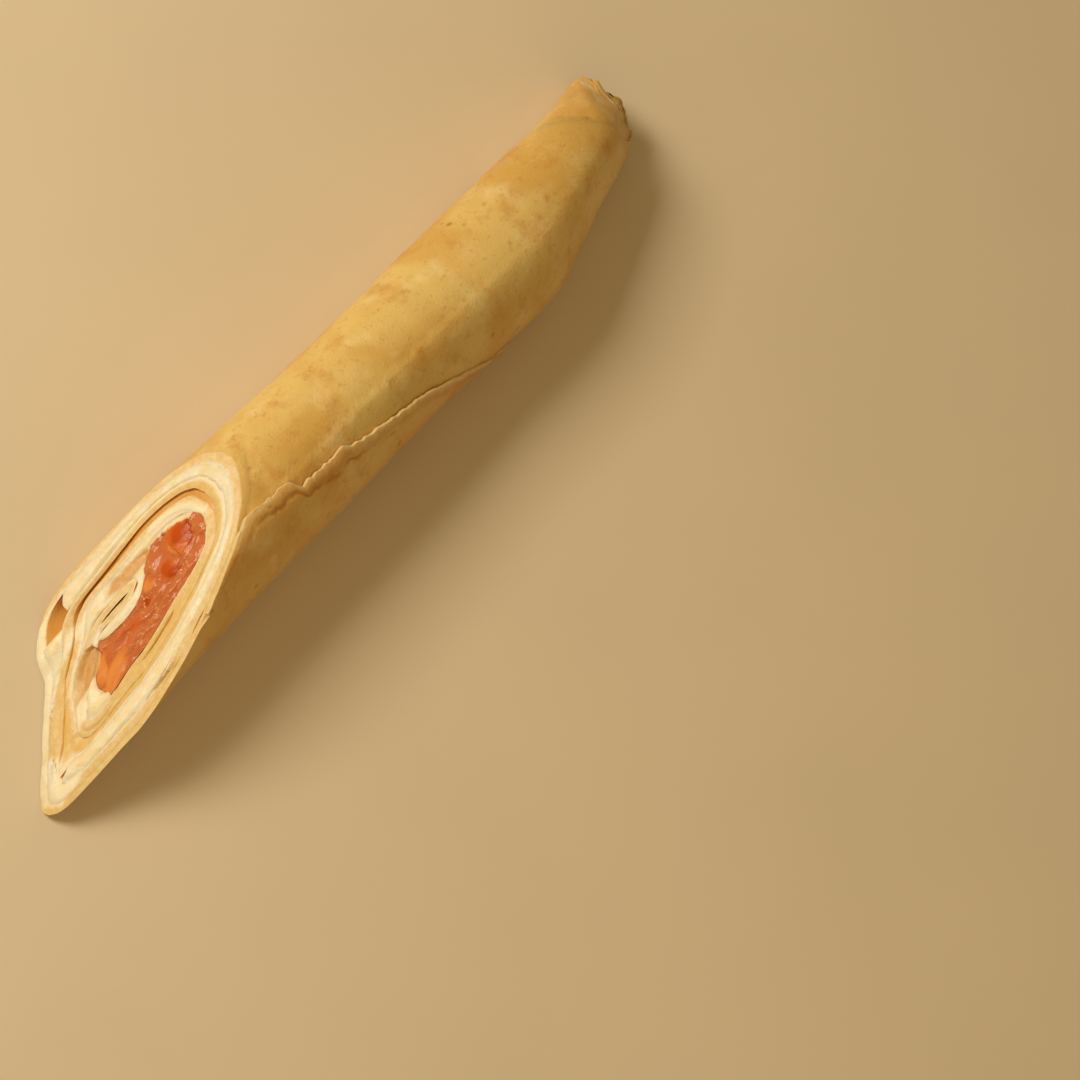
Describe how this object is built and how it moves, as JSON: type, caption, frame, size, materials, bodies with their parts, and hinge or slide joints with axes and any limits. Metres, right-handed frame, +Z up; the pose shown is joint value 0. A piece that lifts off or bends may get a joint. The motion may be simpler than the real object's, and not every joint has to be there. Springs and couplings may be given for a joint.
{
  "type": "rolled filled crepe",
  "caption": "Thin crepe rolled up round soft cheese and smoked salmon, cut on the slant at one end.",
  "frame": {"origin": "middle of the footprint, on the surface that the roll rests on", "axes": "+X along the roll from its slanted cut to its uncut end, +Z up, -Y on the side that the outer flap comes over from"},
  "size_m": [0.1804, 0.0304, 0.0261],
  "materials": {
    "crepe": "thin fried batter, satin, golden with faint tan mottling",
    "cream": "soft white cheese, moist",
    "salmon": "smoked salmon, moist, marbled"
  },
  "bodies": {
    "root": {"crepe": "crepe", "cream_outer": "cream", "cream_inner": "cream", "cream_corner": "cream", "salmon_outer_slice": "salmon", "salmon_inner_slice": "salmon"}
  },
  "joints": []
}
